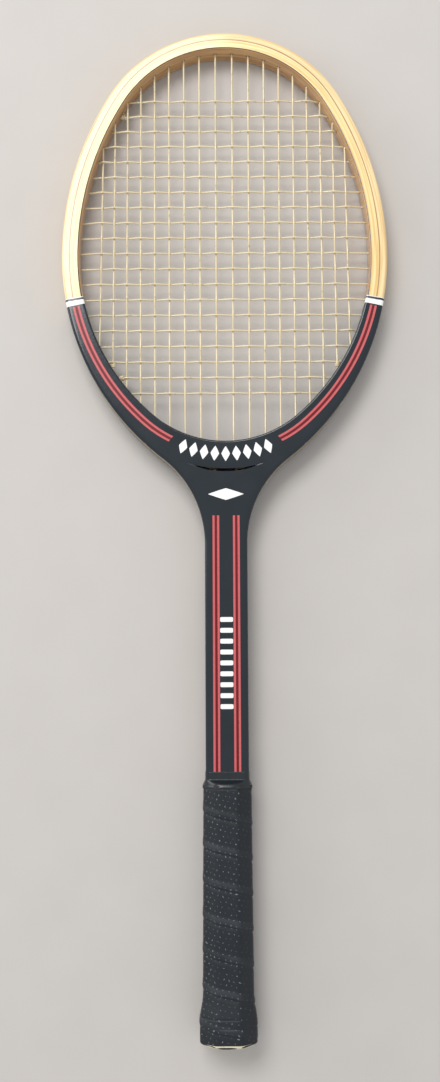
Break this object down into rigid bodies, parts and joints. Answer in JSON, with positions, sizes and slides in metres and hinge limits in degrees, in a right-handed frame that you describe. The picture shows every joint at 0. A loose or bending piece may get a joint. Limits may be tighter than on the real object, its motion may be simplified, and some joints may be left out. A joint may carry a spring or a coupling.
{
  "type": "lawn tennis racket",
  "caption": "Oval-headed laminated wooden racket with woven strings, black throat and shaft, and an octagonal wrapped grip with a flared butt.",
  "frame": {"origin": "centre of the racket's length and width, at the level of the lowest point of the butt", "axes": "+Y from the butt towards the head along the racket, +Z out of the front (playing) face, +X to the right seen from the front"},
  "size_m": [0.224, 0.686, 0.0335],
  "materials": {
    "ash_pale": "pale ash under gloss lacquer",
    "veneer_dark": "dark brown veneer under gloss lacquer",
    "ash_tan": "yellow-tan ash under gloss lacquer",
    "ply_red_brown": "red-brown ply, varnished",
    "throat_wood": "brown beech, varnished at its edges",
    "core_wood": "plain unfinished hardwood",
    "black_lacquer": "gloss blue-black lacquer with coral and dark red lines",
    "white_binding": "gloss white band with a black line",
    "black_leather": "black perforated leather, spirally wrapped",
    "black_tape": "black cloth tape",
    "black_rubber": "semi-gloss black rubber",
    "ivory_plastic": "ivory plastic",
    "tack_brass": "dull brass",
    "string_cream": "cream multifilament string"
  },
  "bodies": {
    "root": {"outer_lamination": "ash_pale", "accent_veneer": "veneer_dark", "inner_lamination": "ash_tan", "lining_ply": "ply_red_brown", "throat_bridge": "throat_wood", "throat_wedge": "throat_wood", "shaft_core": "core_wood", "front_shoulder_overlay": "black_lacquer", "back_shoulder_overlay": "black_lacquer", "front_shaft_overlay": "black_lacquer", "back_shaft_overlay": "black_lacquer", "left_binding": "white_binding", "right_binding": "white_binding", "front_pallet": "core_wood", "back_pallet": "core_wood", "left_butt_cheek": "core_wood", "right_butt_cheek": "core_wood", "leather_grip": "black_leather", "finishing_tape": "black_tape", "grip_collar": "black_rubber", "butt_cap": "ivory_plastic", "butt_tacks": "tack_brass", "main_string": "string_cream", "cross_string": "string_cream", "string_knots": "string_cream"}
  },
  "joints": []
}
